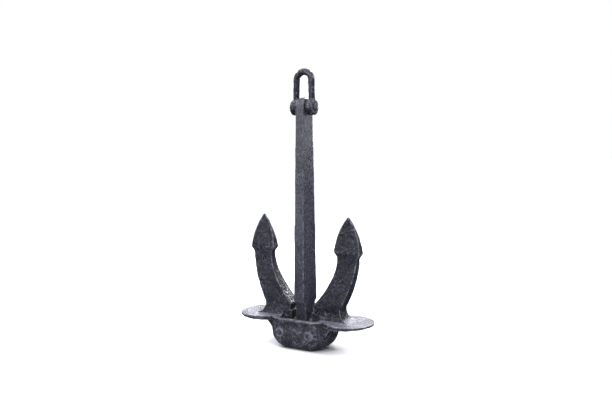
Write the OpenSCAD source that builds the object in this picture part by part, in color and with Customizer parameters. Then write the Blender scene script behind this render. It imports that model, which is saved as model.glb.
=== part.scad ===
// Stockless ship's anchor with a hinged head. Millimetres, +Z up along the shank, +X along the
// line of the flukes. The origin is the middle of the flat underside that the crown stands on.

/* [Crown] */
// Width of the crown box, along the line of the flukes
crown_w = 304; // [298:1:310]
// Depth of the crown box, from its front face to its back face
crown_d = 216; // [214:1:222]
// Height of the crown's top, which is also the top of the tripping palms
crown_h = 142; // [138:1:150]
// Radius of the rounded lower edges of the crown at its two sides
crown_side_r = 58; // [48:1:64]
// Radius of the rounded lower edges of the crown at its front and back
crown_front_r = 44; // [34:1:45]
// Radius of the crown's four upright corners
crown_corner_r = 80; // [72:1:86]
// Radius of the bowl that rounds the crown's lower corners
crown_bowl_r = 84; // [70:1:86]
// Half the gap between the two bearing blocks that the shank's foot stands in
well_half_w = 52; // [50:1:56]
// Half the width of the well in front of and behind the bearing blocks
pocket_half_w = 97; // [94:1:100]
// Half the depth of the well below the stops that the shank leans on
well_half_d = 54; // [53:1:56]
// Span over the two tripping palms
palm_span = 682; // [640:2:720]
// Diameter of the round end of a tripping palm
palm_dia = 236; // [220:2:250]
// Thickness of a tripping palm at its rim
palm_rim = 14; // [11:1:18]

/* [Flukes] */
// Height of the fluke points above the underside
tip_h = 612; // [580:2:640]
// Distance of each fluke point from the middle of the anchor
tip_x = 222; // [210:1:232]
// Height of the barbs of the fluke heads
barb_h = 452; // [440:1:470]
// Width of a fluke head from barb to barb
barb_w = 131; // [122:1:140]
// Width of an arm just below its fluke head
neck_w = 101; // [92:1:106]
// Thickness of a fluke at its point
tip_t = 12; // [8:1:20]
// Thickness of an arm above its root
arm_t = 76; // [66:1:84]

/* [Shank] */
// Height of the shackle pin above the underside
pin_h = 1101; // [1000:1:1200]
// Height of the crown axle above the underside
axle_h = 118; // [117:0.5:119]
// Thickness of the shank at its lower end
foot_t = 54; // [50:1:58]
// Thickness of the shank at its upper end
top_t = 40; // [38:1:42]
// Depth of the shank where it is deepest, above the crown
foot_d = 128; // [120:1:134]
// Depth of the shank at its upper end
top_d = 91; // [86:1:96]
// Depth of the narrower foot that stands in the crown
neck_d = 88; // [84:1:89]
// How far the head turns to each side before the shank lies on the crown
swing = 42; // [40:0.5:43]

/* [Pins] */
// Diameter of the crown axle
axle_dia = 48; // [44:1:50]
// Length of the crown axle
axle_len = 182; // [170:1:184]
// Diameter of the cross pins that keep the crown axle up in its sockets
cross_dia = 30; // [26:1:32]
// Distance of each cross pin from the middle of the anchor
cross_x = 75; // [74:0.5:76]

/* [Shackle] */
// Diameter of the round bar of the bow
bow_bar = 32; // [30:1:33]
// Distance between the middles of the bow's two legs at the eyes
bow_gap = 83; // [82:1:86]
// Distance between the middles of the bow's two legs where the arch begins
bow_neck = 76; // [75:1:80]
// Height of the top of the bow above the shackle pin
bow_reach = 176; // [170:1:200]
// Diameter of the two eyes
eye_dia = 72; // [66:1:78]
// Thickness of each eye
eye_t = 35; // [32:1:37]
// Diameter of the shackle pin
pin_dia = 34; // [30:1:36]
// Diameter of the locking pin through the eye and the shackle pin
lock_dia = 9; // [8:0.5:11]

/* [Hidden] */
$fn = 96;

// Fits
running_gap = 0.08;
held_gap = 0.04;
side_gap = 0.5;
stop_gap = 0.4;
over = 2;

// Crown
palm_r = palm_dia / 2;
palm_root = 22;
bracket_foot_h = 52;
bracket_in = 14;
bracket_out = 62;
bracket_d = 140;
rim_r = 8;
rim_steps = 4;
block_half_d = arm_t / 2 + 1;
block_drop = 30;
pocket_wall = 26;
pocket_half_d = crown_d / 2 - pocket_wall;
pocket_floor = 30;
ramp_half_w = 40;
boss_r = cross_dia / 2 + 9;
boss_proud = 3;
pad_r = 30;
pad_proud = 3;
pad_h = 70;

// Flukes
curve_steps = 18;
notch_drop = 22;
notch_in = (barb_w - neck_w) / 2;
arm_lean = 4;
root_h = 200;
root_out = 205;
root_in = 56;
root_fillet = 58;
root_t = 104;
head_step = 5;

// Shank
neck_top = axle_h + 80;
shoulder_h = axle_h + 98;
axle_r = axle_dia / 2;
pin_r = pin_dia / 2;

// Cross pins
cross_r = cross_dia / 2;
cross_h = axle_h - axle_r - cross_r - stop_gap;
cross_len = crown_d + 2 * (boss_proud + 3);

// Shackle
eye_in = top_t / 2 + 4;
bar_r = bow_bar / 2;
arch_r = bow_neck / 2;
arch_h = bow_reach - bar_r - arch_r;
leg_span = norm([bow_gap / 2, arch_h]);
leg_len = sqrt(leg_span * leg_span - arch_r * arch_r);
leg_lean = acos(arch_r / leg_span) - atan2(arch_h, bow_gap / 2);
pin_len = 2 * (eye_in + eye_t) + 12;
lock_x = eye_in + eye_t / 2;
plug_t = 5;

// Points along a circular arc from one angle to another
function arc(x, y, r, from, to, n = curve_steps) =
    [for (i = [0:n]) let (t = from + (to - from) * i / n) [x + r * cos(t), y + r * sin(t)]];

// Points along a curve that leaves a towards b and arrives at c from b
function bend(a, b, c, n = curve_steps) =
    [for (i = [0:n]) let (t = i / n) a * (1 - t) * (1 - t) + b * 2 * t * (1 - t) + c * t * t];

// An outline drawn in X and Z, made into a slab that is so deep along Y
module front_slab(depth) {
    rotate([90, 0, 0]) linear_extrude(height = depth, center = true) children();
}

// An outline drawn in Y and Z, made into a slab that is so wide along X
module side_slab(width) {
    rotate([90, 0, 90]) linear_extrude(height = width, center = true) children();
}

module bar_x(r, length) {
    rotate([0, 90, 0]) cylinder(r = r, h = length, center = true);
}

module bar_y(r, length) {
    rotate([90, 0, 0]) cylinder(r = r, h = length, center = true);
}

module both_sides() {
    children();
    mirror([1, 0, 0]) children();
}

// ---- Crown ----

module crown_box_outline() {
    side = crown_w / 2;
    right = concat(
        arc(side - crown_side_r, crown_side_r, crown_side_r, -90, 0),
        arc(side - rim_r, crown_h - rim_r, rim_r, 0, 90, rim_steps)
    );
    left = [for (i = [len(right) - 1:-1:0]) [-right[i][0], right[i][1]]];
    polygon(concat(right, left));
}

module crown_side_outline() {
    front = crown_d / 2;
    right = concat(
        arc(front - crown_front_r, crown_front_r, crown_front_r, -90, 0),
        arc(front - rim_r, crown_h - rim_r, rim_r, 0, 90, rim_steps)
    );
    left = [for (i = [len(right) - 1:-1:0]) [-right[i][0], right[i][1]]];
    polygon(concat(right, left));
}

module crown_plan(w, d, r) {
    square([w - 2 * r, d], center = true);
    square([w, d - 2 * r], center = true);
    for (x = [-1, 1], y = [-1, 1]) translate([x * (w / 2 - r), y * (d / 2 - r)]) circle(r = r);
}

module crown_box() {
    intersection() {
        front_slab(crown_d) crown_box_outline();
        side_slab(crown_w) crown_side_outline();
        linear_extrude(height = crown_h) crown_plan(crown_w, crown_d, crown_corner_r);
        crown_bowl();
    }
}

// Just reaches the crown's upright corners, and rounds them off below
module crown_bowl() {
    reach = norm([crown_w / 2 - crown_corner_r, crown_d / 2 - crown_corner_r]) + crown_corner_r + 1;
    rotate_extrude() polygon(concat(
        [[0, 0]],
        arc(reach - crown_bowl_r, crown_bowl_r, crown_bowl_r, -90, 0),
        [[reach, crown_h], [0, crown_h]]
    ));
}

// Palm drawn for the side at +X
module palm_outline() {
    end = palm_span / 2;
    polygon(concat(
        [[0, crown_h], [0, crown_h - palm_root], [crown_w / 2 + bracket_out, crown_h - palm_root]],
        [[end, crown_h - palm_rim]],
        arc(end - rim_r, crown_h - rim_r, rim_r, 0, 90, rim_steps)
    ));
}

// Bracket that carries the palm, drawn for the side at +X
module bracket_outline() {
    side = crown_w / 2;
    under = crown_h - palm_root;
    polygon(concat(
        [[0, under + over], [0, bracket_foot_h]],
        bend([side - bracket_in, bracket_foot_h], [side - bracket_in / 2, under - 2],
            [side + bracket_out, under]),
        [[side + bracket_out, under + over]]
    ));
}

module palms() {
    middle = palm_span / 2 - palm_r;
    intersection() {
        front_slab(palm_dia) both_sides() palm_outline();
        linear_extrude(height = crown_h) both_sides() translate([middle, 0]) circle(r = palm_r);
    }
    front_slab(bracket_d) both_sides() bracket_outline();
}

// The well goes right through. Its front and back slope where the shank comes to lie on them
module well_outline() {
    reach = neck_d / 2 + stop_gap;
    low = (well_half_d - reach * cos(swing)) / sin(swing);
    high = (crown_h + over - axle_h + reach * sin(swing)) / cos(swing);
    low_z = axle_h + low * cos(swing) - reach * sin(swing);
    high_y = high * sin(swing) + reach * cos(swing);
    polygon([
        [-well_half_d, -over], [well_half_d, -over],
        [well_half_d, low_z], [high_y, crown_h + over],
        [-high_y, crown_h + over], [-well_half_d, low_z]
    ]);
}

// The axle comes up from below, so its sockets are slots with a round upper end
module axle_sockets() {
    r = axle_r + running_gap;
    length = axle_len + 2 * side_gap;
    translate([0, 0, axle_h]) bar_x(r, length);
    translate([-length / 2, -r, -over]) cube([length, 2 * r, axle_h + over]);
}

// Open corners of the well, between the ramps that stop the shank and the bearing blocks
module well_pockets() {
    w = pocket_half_w - ramp_half_w;
    d = pocket_half_d - block_half_d;
    for (x = [-1, 1], y = [-1, 1])
        translate([x * (ramp_half_w + w / 2), y * (block_half_d + d / 2), pocket_floor])
            linear_extrude(height = crown_h + over - pocket_floor) square([w, d], center = true);
}

// ---- Flukes ----

module fluke_outline() {
    barb_in = tip_x - barb_w / 2;
    barb_out = tip_x + barb_w / 2;
    notch_h = barb_h - notch_drop;
    mid_h = barb_h + (tip_h - barb_h) * 0.6;
    bulge = 10;
    polygon(concat(
        bend([pocket_half_w, crown_h - over], [root_in + 8, crown_h + 12], [root_in, root_h]),
        bend([root_in, root_h], [barb_in + notch_in + 4, root_h + 128],
            [barb_in + notch_in, notch_h]),
        bend([barb_in, barb_h], [barb_in + bulge, mid_h], [tip_x - 2, tip_h]),
        bend([tip_x + 2, tip_h], [barb_out - bulge, mid_h], [barb_out, barb_h - arm_lean]),
        bend([barb_out - notch_in, notch_h - arm_lean], [barb_out - notch_in - 4, root_h + 134],
            [root_out, root_h + 10]),
        bend([root_out - 6, root_h], [root_out - 12, crown_h], [root_out + root_fillet, crown_h]),
        [[root_out + root_fillet, crown_h - over]]
    ));
}

module fluke_side_outline() {
    notch_h = barb_h - notch_drop;
    neck = arm_t / 4;
    half = [
        [arm_t / 2, crown_h - over], [arm_t / 2, root_h + 20], [neck, notch_h],
        [neck + head_step, barb_h], [tip_t / 2 + 6, barb_h + 0.5 * (tip_h - barb_h)],
        [tip_t / 2, tip_h]
    ];
    other = [for (i = [len(half) - 1:-1:0]) [-half[i][0], half[i][1]]];
    polygon(concat(half, other));
}

// The arms spread to the front and back where they stand on the palms
module root_side_outline() {
    half = concat(
        [[root_t / 2, crown_h - over]],
        bend([root_t / 2, crown_h], [arm_t / 2, crown_h + 4], [arm_t / 2 - 1, root_h])
    );
    other = [for (i = [len(half) - 1:-1:0]) [-half[i][0], half[i][1]]];
    polygon(concat(half, other));
}

module arm_roots() {
    width = root_out + root_fillet - pocket_half_w;
    intersection() {
        front_slab(root_t) both_sides() fluke_outline();
        both_sides() translate([pocket_half_w + width / 2, 0, 0]) side_slab(width) root_side_outline();
    }
}

module flukes() {
    intersection() {
        front_slab(root_t) both_sides() fluke_outline();
        side_slab(2 * (tip_x + barb_w)) fluke_side_outline();
    }
    arm_roots();
}

// Blocks under the arms that hold the sockets of the crown axle
module bearing_blocks() {
    height = root_h - block_drop - pocket_floor;
    width = pocket_half_w + over - well_half_w;
    both_sides() translate([well_half_w + width / 2, 0, pocket_floor + height / 2])
        cube([width, 2 * block_half_d, height], center = true);
}

module anchor_head() {
    color([0.16, 0.16, 0.18]) difference() {
        union() {
            crown_box();
            palms();
            flukes();
            bearing_blocks();
            both_sides() translate([cross_x, 0, cross_h]) bar_y(boss_r, crown_d + 2 * boss_proud);
            translate([0, 0, pad_h]) bar_y(pad_r, crown_d + 2 * pad_proud);
        }
        side_slab(2 * well_half_w) well_outline();
        well_pockets();
        axle_sockets();
        both_sides() translate([cross_x, 0, cross_h]) bar_y(cross_r + held_gap, crown_d + 40);
    }
}

// Headless bar with a chamfer at each end
module cross_pin(x) {
    chamfer = 3;
    color([0.14, 0.14, 0.15]) translate([x, 0, cross_h]) rotate([90, 0, 0])
        rotate_extrude() polygon([
            [0, -cross_len / 2], [cross_r - chamfer, -cross_len / 2],
            [cross_r, -cross_len / 2 + chamfer], [cross_r, cross_len / 2 - chamfer],
            [cross_r - chamfer, cross_len / 2], [0, cross_len / 2]
        ]);
}

module cross_pin_left() {
    cross_pin(-cross_x);
}

module cross_pin_right() {
    cross_pin(cross_x);
}

// ---- Shank ----

module shank_side_outline() {
    hull() {
        translate([0, pin_h]) circle(d = top_d);
        translate([-foot_d / 2, shoulder_h]) square([foot_d, 1]);
    }
    polygon([
        [-neck_d / 2, neck_top], [neck_d / 2, neck_top],
        [foot_d / 2, shoulder_h + 1], [-foot_d / 2, shoulder_h + 1]
    ]);
    translate([-neck_d / 2, axle_h]) square([neck_d, neck_top - axle_h + 1]);
    translate([0, axle_h]) circle(d = neck_d);
}

module shank_front_outline() {
    low = axle_h - neck_d / 2 - 1;
    high = pin_h + top_d / 2;
    polygon(concat(
        [[-foot_t / 2, low], [foot_t / 2, low], [foot_t / 2, shoulder_h]],
        bend([top_t / 2, high - 22], [top_t / 2, high], [0, high]),
        bend([0, high], [-top_t / 2, high], [-top_t / 2, high - 22]),
        [[-foot_t / 2, shoulder_h]]
    ));
}

module shank() {
    color([0.2, 0.2, 0.22]) difference() {
        intersection() {
            front_slab(foot_d) shank_front_outline();
            side_slab(foot_t) shank_side_outline();
        }
        translate([0, 0, axle_h]) bar_x(axle_r + held_gap, 2 * foot_t);
        translate([0, 0, pin_h]) bar_x(pin_r + running_gap, 2 * foot_t);
    }
}

module crown_axle() {
    color([0.3, 0.3, 0.31]) translate([0, 0, axle_h]) bar_x(axle_r, axle_len);
}

// ---- Shackle ----

// The legs lean in from the eyes and meet the arch without a kink
module bow_leg() {
    translate([bow_gap / 2, 0, pin_h]) rotate([0, -leg_lean, 0]) cylinder(r = bar_r, h = leg_len);
}

// The arch is a hair thinner than the legs, and its ends stand inside them
module bow_arch() {
    inside = 5;
    translate([0, 0, pin_h + arch_h]) rotate([90, inside - leg_lean, 0])
        rotate_extrude(angle = 180 + 2 * (inside - leg_lean))
            translate([arch_r, 0]) circle(r = bar_r - 0.3);
}

// Round eye with softened rims
module bow_eye() {
    soft = 8;
    half = eye_t / 2;
    r = eye_dia / 2;
    translate([eye_in + half, 0, pin_h]) rotate([0, 90, 0]) rotate_extrude() polygon(concat(
        [[0, -half], [r - 3, -half], [r, -half + 3]],
        arc(r - soft, half - soft, soft, 0, 90, 6),
        [[0, half]]
    ));
}

module shackle_bow() {
    color([0.15, 0.15, 0.16]) difference() {
        union() {
            both_sides() bow_leg();
            both_sides() bow_eye();
            bow_arch();
        }
        translate([0, 0, pin_h]) bar_x(pin_r + held_gap, 2 * pin_len);
        translate([lock_x, 0, pin_h]) bar_y(lock_dia / 2 + held_gap, 2 * eye_dia);
    }
}

module shackle_pin() {
    color([0.3, 0.3, 0.31]) difference() {
        translate([0, 0, pin_h]) bar_x(pin_r, pin_len);
        translate([lock_x, 0, pin_h]) bar_y(lock_dia / 2 + held_gap, 2 * eye_dia);
    }
}

module shackle_locking_pin() {
    length = eye_dia - 2 - plug_t;
    color([0.55, 0.55, 0.56]) translate([lock_x, plug_t / 2, pin_h]) bar_y(lock_dia / 2, length);
}

module locking_pin_plug() {
    color([0.45, 0.46, 0.48]) translate([lock_x, 1 - eye_dia / 2 + plug_t / 2, pin_h])
        bar_y(lock_dia / 2, plug_t);
}

anchor_head();
cross_pin_left();
cross_pin_right();
shank();
crown_axle();
shackle_bow();
shackle_pin();
shackle_locking_pin();
locking_pin_plug();
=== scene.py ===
"""A stockless anchor in gloss black paint over cast and forged steel, on its crown in a white studio."""

import math

import bmesh
import bpy
import numpy as np
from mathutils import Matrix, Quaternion, Vector, noise


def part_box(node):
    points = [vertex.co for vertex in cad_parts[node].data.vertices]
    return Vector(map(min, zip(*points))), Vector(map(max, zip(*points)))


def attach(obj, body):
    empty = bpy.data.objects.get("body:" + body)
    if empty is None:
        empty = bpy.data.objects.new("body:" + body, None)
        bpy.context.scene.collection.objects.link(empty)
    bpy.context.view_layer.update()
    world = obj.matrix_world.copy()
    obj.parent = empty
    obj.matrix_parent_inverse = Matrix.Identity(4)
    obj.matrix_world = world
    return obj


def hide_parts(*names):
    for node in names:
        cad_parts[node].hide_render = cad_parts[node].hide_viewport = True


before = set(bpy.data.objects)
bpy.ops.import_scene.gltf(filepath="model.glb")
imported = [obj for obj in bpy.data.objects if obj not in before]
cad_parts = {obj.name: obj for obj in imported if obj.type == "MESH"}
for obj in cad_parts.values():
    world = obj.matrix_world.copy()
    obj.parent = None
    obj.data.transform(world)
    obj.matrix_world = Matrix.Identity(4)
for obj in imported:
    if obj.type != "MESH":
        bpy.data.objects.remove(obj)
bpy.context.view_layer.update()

MM = 0.001
SINK = 0.4  # how far a cast or forged skin lies inside its solid, as a share of each wave's height
SEED_STEPS = (7.31, 3.17, 5.73)  # how far apart in the noise two seeds are

PAINT_DARK = (0.003, 0.003, 0.005)
PAINT_LIGHT = (0.010, 0.011, 0.020)
# Painted glints: the light grey of the flecks in the paint.
PAINTED_GLINT_DARK = (0.045, 0.045, 0.06)
PAINTED_GLINT_LIGHT = (0.15, 0.15, 0.19)
# Bare steel on worn edges, which also paints highlights along them.
BARE_AND_HIGHLIGHT_DARK = (0.20, 0.20, 0.23)
BARE_AND_HIGHLIGHT_LIGHT = (0.46, 0.46, 0.51)
# Dust on what faces up, which also paints a sheen there.
DUST_AND_SHEEN_DARK = (0.10, 0.10, 0.125)
DUST_AND_SHEEN_LIGHT = (0.30, 0.30, 0.36)
PAINT_SPECULAR = 0.5
MATT = 0.2  # how much rougher the paint is under the grey flecks and on worn edges
PAINTED_FOOT_LIGHT = 0.24  # painted light: how many more grey flecks the anchor's foot gets, which lightens the crown
PAINTED_FOOT_LIGHT_HEIGHTS = (0.1, 0.2)  # full painted light below the first, none above the second, in metres
FEWEST_PAINTED_GLINTS = 0.35  # flecks in the sparsest patches, as a share of those in the thickest ones

# How fine each pattern in the paint is, in bumps per metre. The fleck patterns are painted glints.
SHADES = 9.0
PAINTED_GLINT_PATCHES = 8.0
PAINTED_GLINT_SPECKS = 110.0
PAINTED_GLINT_SHADES = 35.0
WEAR_AND_HIGHLIGHT_SPOTS = 45.0
DUST_AND_SHEEN_SPOTS = 45.0
DUST_AND_SHEEN_GRAIN = 300.0
BARE_AND_HIGHLIGHT_GRAIN = 160.0
GLOSS_SPOTS = 26.0

# Pits and grit on the skin of the steel, as multiples of the skin's own fineness and depth.
PIT_FINENESS = 3.2
PIT_DEPTH = 0.25
GRIT_FINENESS = 6
GRIT_DEPTH = 0.12


# ---------------------------------------------------------------- meshes

def new_object(name, mesh):
    piece = bpy.data.objects.new(name, mesh)
    bpy.context.scene.collection.objects.link(piece)
    return piece


def shade_smooth(mesh):
    mesh.polygons.foreach_set("use_smooth", [True] * len(mesh.polygons))


def apply_modifiers(piece):
    """Swaps the piece's mesh for the one its modifiers give."""
    bpy.context.view_layer.update()
    evaluated = piece.evaluated_get(bpy.context.evaluated_depsgraph_get())
    mesh = bpy.data.meshes.new_from_object(evaluated)
    piece.modifiers.clear()
    old = piece.data
    piece.data = mesh
    bpy.data.meshes.remove(old)


def vectors_of(mesh, kind):
    """Each vertex's place, for kind co, or its normal, for kind normal."""
    flat = np.empty(len(mesh.vertices) * 3)
    mesh.vertices.foreach_get(kind, flat)
    return flat.reshape(-1, 3)


def set_coords(mesh, coords):
    mesh.vertices.foreach_set("co", coords.astype(np.float32).ravel())
    mesh.update()


def lumpy(coords, wave, seed):
    """Smooth noise of about the given wavelength at each point, from -1 to 1."""
    offset = Vector([seed * step for step in SEED_STEPS])
    return np.array([noise.noise(Vector(c) / wave + offset) for c in coords])


def worked_copy(node, name, voxel, smoothing, waves, seed):
    """A copy of a CAD solid with softened edges and the uneven skin that casting or forging leaves.

    voxel is the mesh's fineness in metres, smoothing is a number of passes, and waves is a list of
    (wavelength, height) in metres. Most of the skin lies just inside the solid, which keeps the piece clear
    of its neighbours, and all of it stays inside the solid's own box.
    """
    low, high = (np.array(corner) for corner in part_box(node))
    piece = new_object(name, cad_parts[node].data.copy())
    piece.data.materials.clear()
    remesh = piece.modifiers.new("skin", "REMESH")
    remesh.mode = "VOXEL"
    remesh.voxel_size = voxel
    soften = piece.modifiers.new("soften", "SMOOTH")
    soften.factor = 0.5
    soften.iterations = smoothing
    apply_modifiers(piece)
    coords = vectors_of(piece.data, "co")
    normals = vectors_of(piece.data, "normal")
    for number, (wave, height) in enumerate(waves):
        coords = coords + normals * (height * (lumpy(coords, wave, seed + number) - SINK))[:, None]
    set_coords(piece.data, np.clip(coords, low, high))
    shade_smooth(piece.data)
    return piece


def join_rings(shape, first, second):
    """Faces between two closed rings with the same number of points."""
    for k in range(len(first)):
        after = (k + 1) % len(first)
        shape.faces.new((first[k], first[after], second[after], second[k]))


def finished(shape, name):
    """A bmesh made into a smooth object with its faces turned outward."""
    bmesh.ops.recalc_face_normals(shape, faces=shape.faces)
    mesh = bpy.data.meshes.new(name)
    shape.to_mesh(mesh)
    shape.free()
    shade_smooth(mesh)
    return new_object(name, mesh)


def turned_bar(name, axis, centre, profile, sides=64):
    """A body of revolution along X or Y. The profile is a list of (distance along the axis, radius)."""
    shape = bmesh.new()
    rings = []
    for along, radius in profile:
        ring = []
        for k in range(sides):
            angle = 2 * math.pi * k / sides
            across, up = radius * math.cos(angle), radius * math.sin(angle)
            point = (along, across, up) if axis == "X" else (across, along, up)
            ring.append(shape.verts.new(Vector(centre) + Vector(point)))
        rings.append(ring)
    for first, second in zip(rings, rings[1:]):
        join_rings(shape, first, second)
    shape.faces.new(rings[0])
    shape.faces.new(rings[-1])
    return finished(shape, name)


def rounded_bar_profile(half, radius, edge, fall, face_steps=4, edge_steps=6):
    """Profile of a round bar with rounded edges and slightly domed ends, from one end to the other.

    half is half the bar's length, edge is the radius of its rounded edges, and fall is how far each domed end
    drops from its middle to where the edge starts.
    """
    face = radius - edge
    end = []
    for k in range(1, face_steps + 1):
        r = face * k / face_steps
        end.append((half - fall * (r / face) ** 2, r))
    start_of_edge = end[-1][0]
    for k in range(1, edge_steps + 1):
        angle = math.pi / 2 * k / edge_steps
        end.append((start_of_edge - edge * (1 - math.cos(angle)), face + edge * math.sin(angle)))
    return [(-along, r) for along, r in end] + [(along, r) for along, r in reversed(end)]


def weld_bead(name, centre, ring, bead, ripples, seed, sides=12):
    """A fillet weld laid round a pin's end, with the ripples of its passes.

    ring is the radius of the bead's own centre line and bead is the radius of its section.
    """
    steps_per_ripple = 6
    ripple_depth = 0.13
    unevenness = 0.12
    lumps_per_step = 0.21
    flatness = 0.8
    shape = bmesh.new()
    steps = ripples * steps_per_ripple
    rings = []
    for i in range(steps):
        angle = 2 * math.pi * i / steps
        uneven = noise.noise(Vector((i * lumps_per_step, seed, 0)))
        size = bead * (1 + ripple_depth * math.sin(ripples * angle) + unevenness * uneven)
        loop = []
        for k in range(sides):
            turn = 2 * math.pi * k / sides
            r = ring + size * math.cos(turn)
            point = (r * math.cos(angle), size * flatness * math.sin(turn), r * math.sin(angle))
            loop.append(shape.verts.new(Vector(centre) + Vector(point)))
        rings.append(loop)
    for first, second in zip(rings, rings[1:] + rings[:1]):
        join_rings(shape, first, second)
    return finished(shape, name)


# ---------------------------------------------------------------- materials

def set_stops(ramp, stops):
    """Gives a colour ramp its stops, each a position and a colour or a level of grey."""
    while len(ramp.elements) < len(stops):
        ramp.elements.new(0.5)
    for element, (position, colour) in zip(ramp.elements, stops):
        element.position = position
        element.color = (*colour, 1.0) if isinstance(colour, tuple) else (colour, colour, colour, 1.0)


class Nodes:
    """Short forms for building one material's node tree."""

    def __init__(self, name):
        self.material = bpy.data.materials.new(name)
        self.material.use_nodes = True
        self.tree = self.material.node_tree
        self.shader = self.tree.nodes["Principled BSDF"]
        where = self.tree.nodes.new("ShaderNodeTexCoord")
        self.where = where.outputs["Object"]

    def link(self, output, socket):
        self.tree.links.new(output, socket)

    def noise(self, scale, detail=4.0, rough=0.55, distortion=0.0):
        node = self.tree.nodes.new("ShaderNodeTexNoise")
        node.inputs["Scale"].default_value = scale
        node.inputs["Detail"].default_value = detail
        node.inputs["Roughness"].default_value = rough
        node.inputs["Distortion"].default_value = distortion
        self.link(self.where, node.inputs["Vector"])
        return node.outputs["Fac"]

    def cells(self, scale):
        node = self.tree.nodes.new("ShaderNodeTexVoronoi")
        node.inputs["Scale"].default_value = scale
        self.link(self.where, node.inputs["Vector"])
        return node.outputs["Distance"]

    def ramp(self, value, stops):
        node = self.tree.nodes.new("ShaderNodeValToRGB")
        set_stops(node.color_ramp, stops)
        self.link(value, node.inputs["Fac"])
        return node.outputs["Color"]

    def mix(self, factor, first, second):
        node = self.tree.nodes.new("ShaderNodeMix")
        node.data_type = "RGBA"
        self.link(factor, node.inputs["Factor"])
        self.link(first, node.inputs["A"])
        self.link(second, node.inputs["B"])
        return node.outputs["Result"]

    def maths(self, operation, first, second):
        node = self.tree.nodes.new("ShaderNodeMath")
        node.operation = operation
        for socket, value in zip(node.inputs, (first, second)):
            if isinstance(value, (int, float)):
                socket.default_value = value
            else:
                self.link(value, socket)
        return node.outputs[0]

    def upward(self, low, high):
        """0 to 1 where the surface faces up on the piece itself."""
        where = self.tree.nodes.new("ShaderNodeTexCoord")
        split = self.tree.nodes.new("ShaderNodeSeparateXYZ")
        self.link(where.outputs["Normal"], split.inputs["Vector"])
        return self.ramp(split.outputs["Z"], [(low, 0.0), (high, 1.0)])

    def low_down(self, full, none):
        """1 below one height and 0 above the other, in metres over the floor at rest."""
        split = self.tree.nodes.new("ShaderNodeSeparateXYZ")
        self.link(self.where, split.inputs["Vector"])
        return self.ramp(split.outputs["Z"], [(full, 1.0), (none, 0.0)])

    def edges(self, low, high):
        """0 to 1 where the surface is a sharp outward edge."""
        node = self.tree.nodes.new("ShaderNodeNewGeometry")
        return self.ramp(node.outputs["Pointiness"], [(low, 0.0), (high, 1.0)])

    def bump(self, height, distance, strength, below=None):
        node = self.tree.nodes.new("ShaderNodeBump")
        node.inputs["Distance"].default_value = distance
        node.inputs["Strength"].default_value = strength
        self.link(height, node.inputs["Height"])
        if below is not None:
            self.link(below, node.inputs["Normal"])
        return node.outputs["Normal"]


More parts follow.
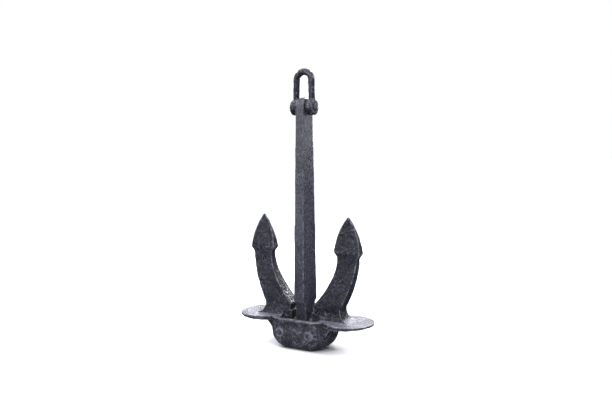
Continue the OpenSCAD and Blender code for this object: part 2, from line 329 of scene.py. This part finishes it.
def painted_steel(name, dark, light, skin_scale, skin_depth, gloss, painted_glints, wear_and_highlight, dust_and_sheen=0.5):
    """Gloss black paint that follows the skin of the steel below it.

    The flecks are painted glints: light grey specks across the paint. They are thickest low down, where they
    are painted light that brightens the crown. Wear is bare steel along the edges and also painted highlights
    there, and dust on what faces up is also a painted sheen there.
    All three are from 0 to 1. skin_scale is in bumps per metre, skin_depth is in metres, and gloss is the
    least and the most roughness.
    """
    n = Nodes(name)
    paint = n.ramp(n.noise(SHADES, 3.0), [(0.3, dark), (0.7, light)])

    # Painted glints: light grey flecks in patches across the paint.
    glint_specks = n.ramp(n.noise(PAINTED_GLINT_SPECKS, 4.0, 0.8), [(0.50, 0.0), (0.64, 1.0)])
    glint_patches = n.ramp(n.noise(PAINTED_GLINT_PATCHES, 3.0), [(0.35, FEWEST_PAINTED_GLINTS * painted_glints), (0.62, painted_glints)])
    # Painted light: more grey flecks towards the foot, which lightens the crown.
    low = n.maths("MULTIPLY", n.low_down(*PAINTED_FOOT_LIGHT_HEIGHTS), PAINTED_FOOT_LIGHT)
    painted_light_flecks = n.maths("MULTIPLY", n.maths("ADD", glint_specks, low), n.maths("ADD", glint_patches, low))
    painted_light_grey = n.ramp(n.noise(PAINTED_GLINT_SHADES, 3.0), [(0.3, PAINTED_GLINT_DARK), (0.7, PAINTED_GLINT_LIGHT)])
    painted_light_flecked = n.mix(painted_light_flecks, paint, painted_light_grey)

    # Dust on what faces up, which also paints a sheen there.
    dust_and_sheen_patches = n.ramp(n.noise(DUST_AND_SHEEN_SPOTS, 6.0, 0.7), [(0.35, 0.25), (0.65, 1.0)])
    dust_and_sheen_mask = n.maths("MULTIPLY", n.maths("MULTIPLY", n.upward(0.75, 0.97), dust_and_sheen_patches), dust_and_sheen)
    dust_and_sheen_colour = n.ramp(n.noise(DUST_AND_SHEEN_GRAIN, 2.0), [(0.3, DUST_AND_SHEEN_DARK), (0.7, DUST_AND_SHEEN_LIGHT)])
    dusty_and_sheened = n.mix(dust_and_sheen_mask, painted_light_flecked, dust_and_sheen_colour)

    # Bare steel on worn edges, which also paints highlights along them.
    wear_and_highlight_spots = n.ramp(n.noise(WEAR_AND_HIGHLIGHT_SPOTS, 6.0, 0.7), [(0.38, 0.0), (0.58, wear_and_highlight)])
    wear_and_highlight_mask = n.maths("MULTIPLY", n.edges(0.505, 0.55), wear_and_highlight_spots)
    bare_and_highlight = n.ramp(n.noise(BARE_AND_HIGHLIGHT_GRAIN, 3.0), [(0.35, BARE_AND_HIGHLIGHT_DARK), (0.7, BARE_AND_HIGHLIGHT_LIGHT)])
    n.link(n.mix(wear_and_highlight_mask, dusty_and_sheened, bare_and_highlight), n.shader.inputs["Base Color"])

    rough = n.ramp(n.noise(GLOSS_SPOTS, 5.0, 0.65), [(0.3, gloss[0]), (0.72, gloss[1])])
    rougher = n.maths("MULTIPLY", n.maths("ADD", wear_and_highlight_mask, painted_light_flecks), MATT)
    n.link(n.maths("ADD", rough, rougher), n.shader.inputs["Roughness"])

    skin = n.bump(n.noise(skin_scale, 4.0, 0.6, 0.3), skin_depth, 0.9)
    pits = n.ramp(n.cells(skin_scale * PIT_FINENESS), [(0.0, 0.0), (0.35, 1.0)])
    pitted = n.bump(pits, skin_depth * PIT_DEPTH, 0.5, skin)
    grit = n.noise(skin_scale * GRIT_FINENESS, 2.0)
    n.link(n.bump(grit, skin_depth * GRIT_DEPTH, 0.6, pitted), n.shader.inputs["Normal"])
    n.shader.inputs["Specular IOR Level"].default_value = PAINT_SPECULAR
    return n.material


def greased_steel(name, dark, light, rough):
    """Bare turned metal, for what is inside. rough is the least roughness."""
    n = Nodes(name)
    n.link(n.ramp(n.noise(70.0, 6.0, 0.6), [(0.3, dark), (0.7, light)]), n.shader.inputs["Base Color"])
    n.link(n.ramp(n.noise(120.0, 4.0), [(0.3, rough), (0.7, rough + 0.2)]), n.shader.inputs["Roughness"])
    n.link(n.bump(n.noise(400.0, 3.0), 0.0002, 0.6), n.shader.inputs["Normal"])
    n.shader.inputs["Metallic"].default_value = 0.9
    return n.material


def give(piece, material):
    piece.data.materials.clear()
    piece.data.materials.append(material)


def finish_node(node, material):
    """A CAD node that keeps its own mesh takes the material in each of its slots."""
    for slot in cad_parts[node].material_slots:
        slot.material = material


def fit(piece, body, slot, material, *nodes):
    """Paints a piece and puts it on its body, in the place of the CAD nodes that it replaces."""
    give(piece, material)
    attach(piece, body)
    if nodes:
        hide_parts(*nodes)


# ---------------------------------------------------------------- the anchor

def make_head():
    paint = painted_steel("cast_paint", PAINT_DARK, PAINT_LIGHT, skin_scale=75.0, skin_depth=0.0150,
                          gloss=(0.06, 0.2), painted_glints=0.7, wear_and_highlight=0.85, dust_and_sheen=0.9)
    waves = [(0.09, 0.0018), (0.026, 0.0013), (0.012, 0.0007)]
    head = worked_copy("anchor_head", "head_casting", voxel=0.0027, smoothing=8, waves=waves, seed=3)
    fit(head, "head", "head_paint", paint, "anchor_head")


def make_shank():
    # The shank's paint is a lighter copy of the black paint: painted light that makes the shank brighter.
    paint = painted_steel("lightened_forged_paint", (0.018, 0.018, 0.026), (0.040, 0.041, 0.058),
                          skin_scale=60.0, skin_depth=0.0034, gloss=(0.14, 0.30), painted_glints=0.6, wear_and_highlight=0.4)
    waves = [(0.12, 0.0010), (0.03, 0.0003)]
    shank = worked_copy("shank", "shank_forging", voxel=0.0027, smoothing=12, waves=waves, seed=11)
    fit(shank, "shank", "shank_paint", paint, "shank")


def make_cross_pins():
    """The two pins, each with a weld bead round both ends."""
    paint = painted_steel("pin_paint", PAINT_DARK, PAINT_LIGHT, skin_scale=90.0, skin_depth=0.0030,
                          gloss=(0.06, 0.2), painted_glints=0.7, wear_and_highlight=0.5)
    edge = 3 * MM
    bead_radius = 3.6 * MM
    bead_offset = 1.5 * MM
    ripples = 15
    seeds_per_metre = 90
    for side in ("left", "right"):
        node = f"cross_pin_{side}"
        low, high = (Vector(corner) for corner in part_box(node))
        middle = (low + high) / 2
        radius = (high.x - low.x) / 2
        half = (high.y - low.y) / 2
        profile = rounded_bar_profile(half, radius, edge, fall=0.9 * MM)
        pin = turned_bar(f"{node}_bar", "Y", middle, profile)
        fit(pin, "head", "pin_paint", paint, node)
        for end, sign in (("front", -1), ("back", 1)):
            centre = middle + Vector((0, sign * (half - edge), 0))
            seed = middle.x * seeds_per_metre + sign
            bead = weld_bead(f"{node}_weld_{end}", centre, radius + bead_offset, bead_radius, ripples, seed)
            fit(bead, "head", "pin_paint", paint)


def make_axle():
    low, high = (Vector(corner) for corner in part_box("crown_axle"))
    profile = rounded_bar_profile((high.x - low.x) / 2, (high.z - low.z) / 2, edge=4 * MM, fall=0.6 * MM)
    axle = turned_bar("crown_axle_bar", "X", (low + high) / 2, profile, sides=96)
    steel = greased_steel("axle_steel", (0.05, 0.045, 0.04), (0.12, 0.11, 0.1), 0.3)
    fit(axle, "shank", "axle_steel", steel, "crown_axle")


def make_shackle():
    """The bow, its pin, and the small locking pin and plug, which keep their own meshes."""
    paint = painted_steel("shackle_paint", (0.004, 0.004, 0.008), (0.012, 0.012, 0.022),
                          skin_scale=80.0, skin_depth=0.0034, gloss=(0.08, 0.2), painted_glints=0.3, wear_and_highlight=0.3)
    waves = [(0.05, 0.0006), (0.012, 0.0002)]
    bow = worked_copy("shackle_bow", "shackle_bow_forging", voxel=0.0018, smoothing=5, waves=waves, seed=23)
    fit(bow, "shackle", "shackle_paint", paint, "shackle_bow")
    low, high = (Vector(corner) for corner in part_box("shackle_pin"))
    profile = rounded_bar_profile((high.x - low.x) / 2, (high.z - low.z) / 2, edge=3 * MM, fall=1.2 * MM)
    pin = turned_bar("shackle_pin_bar", "X", (low + high) / 2, profile)
    fit(pin, "shackle", "shackle_pin_paint", paint, "shackle_pin")
    locking_steel = greased_steel("locking_steel", (0.3, 0.3, 0.31), (0.45, 0.45, 0.46), 0.3)
    finish_node("shackle_locking_pin", locking_steel)
    plug_metal = greased_steel("plug_metal", (0.12, 0.12, 0.13), (0.22, 0.22, 0.24), 0.5)
    finish_node("locking_pin_plug", plug_metal)


# ---------------------------------------------------------------- studio

def make_floor():
    """A wide white floor that the paint doesn't mirror."""
    n = Nodes("floor_paint")
    n.link(n.ramp(n.noise(2.0, 3.0), [(0.3, 0.86), (0.7, 0.89)]), n.shader.inputs["Base Color"])
    n.shader.inputs["Roughness"].default_value = 0.8
    shape = bmesh.new()
    bmesh.ops.create_circle(shape, cap_ends=True, radius=40.0, segments=96)
    mesh = bpy.data.meshes.new("floor")
    shape.to_mesh(mesh)
    shape.free()
    floor = new_object("floor", mesh)
    give(floor, n.material)
    floor.visible_glossy = False


def make_light(name, place, target, size, power, colour=(1, 1, 1)):
    """An area light at a place in metres, turned to a target. Power is in watts."""
    light = bpy.data.lights.new(name, "AREA")
    light.shape = "RECTANGLE"
    light.size, light.size_y = size
    light.energy = power
    light.color = colour
    lamp = bpy.data.objects.new(name, light)
    bpy.context.scene.collection.objects.link(lamp)
    lamp.location = place
    lamp.rotation_euler = (Vector(target) - Vector(place)).to_track_quat("-Z", "Y").to_euler()


def make_world():
    """White to the camera. To every other ray, dark walls that rise into a bright dome."""
    world = bpy.data.worlds.new("studio")
    bpy.context.scene.world = world
    world.use_nodes = True
    tree = world.node_tree
    where = tree.nodes.new("ShaderNodeTexCoord")
    split = tree.nodes.new("ShaderNodeSeparateXYZ")
    tree.links.new(where.outputs["Generated"], split.inputs["Vector"])
    ramp = tree.nodes.new("ShaderNodeValToRGB")
    tint = (0.95, 0.96, 1.05)
    levels = [(0.0, 0.02), (0.40, 0.04), (0.72, 1.0)]
    stops = [(height, tuple(channel * level for channel in tint)) for height, level in levels]
    set_stops(ramp.color_ramp, stops)
    tree.links.new(split.outputs["Z"], ramp.inputs["Fac"])
    studio = tree.nodes["Background"]
    studio.inputs["Strength"].default_value = 1.95
    tree.links.new(ramp.outputs["Color"], studio.inputs["Color"])
    white = tree.nodes.new("ShaderNodeBackground")
    white.inputs["Color"].default_value = (1.0, 1.0, 1.0, 1.0)
    path = tree.nodes.new("ShaderNodeLightPath")
    mix = tree.nodes.new("ShaderNodeMixShader")
    tree.links.new(path.outputs["Is Camera Ray"], mix.inputs["Fac"])
    tree.links.new(studio.outputs["Background"], mix.inputs[1])
    tree.links.new(white.outputs["Background"], mix.inputs[2])
    tree.links.new(mix.outputs["Shader"], tree.nodes["World Output"].inputs["Surface"])


def make_lights():
    """Two panels that the shank's faces mirror, a low strip behind for the palms, and a ring above."""
    shank_middle = (0, 0, 0.7)
    palms = (0, 0, 0.2)
    flukes = (0, 0, 0.3)
    panel = (0.7, 1.0)
    make_light("front_panel", (-1.5, -2.6, 1.1), shank_middle, panel, 12)
    make_light("rear_panel", (1.5, 2.6, 1.3), shank_middle, panel, 7)
    make_light("back", (-1.6, 2.9, 1.2), palms, (3.0, 0.8), 110, (0.93, 0.92, 1.0))
    lamps = 7
    first_angle = 200
    radius = 2.4
    height = 2.4
    for k in range(lamps):
        angle = math.radians(first_angle + 360 * k / lamps)
        place = (radius * math.cos(angle), radius * math.sin(angle), height)
        make_light(f"ring_{k}", place, flukes, (0.3, 0.3), 22)


def make_camera():
    """Three-quarter view from the front right, a little above the middle of the shank."""
    azimuth = math.radians(30.06)
    distance = 3.069
    height = 0.924
    roll = math.radians(-0.39)
    eye = Vector((distance * math.sin(azimuth), -distance * math.cos(azimuth), height))
    target = Vector((0.0047, 0.0027, 0.6616))
    camera = bpy.data.cameras.new("camera")
    camera.lens = 39.46
    camera.clip_end = 200
    holder = bpy.data.objects.new("camera", camera)
    bpy.context.scene.collection.objects.link(holder)
    holder.location = eye
    aim = (target - eye).to_track_quat("-Z", "Y") @ Quaternion((0, 0, 1), roll)
    holder.rotation_euler = aim.to_euler()
    bpy.context.scene.camera = holder


make_camera()
make_world()
make_lights()
make_floor()
make_head()
make_shank()
make_cross_pins()
make_axle()
make_shackle()
bpy.context.scene.view_settings.view_transform = "Standard"
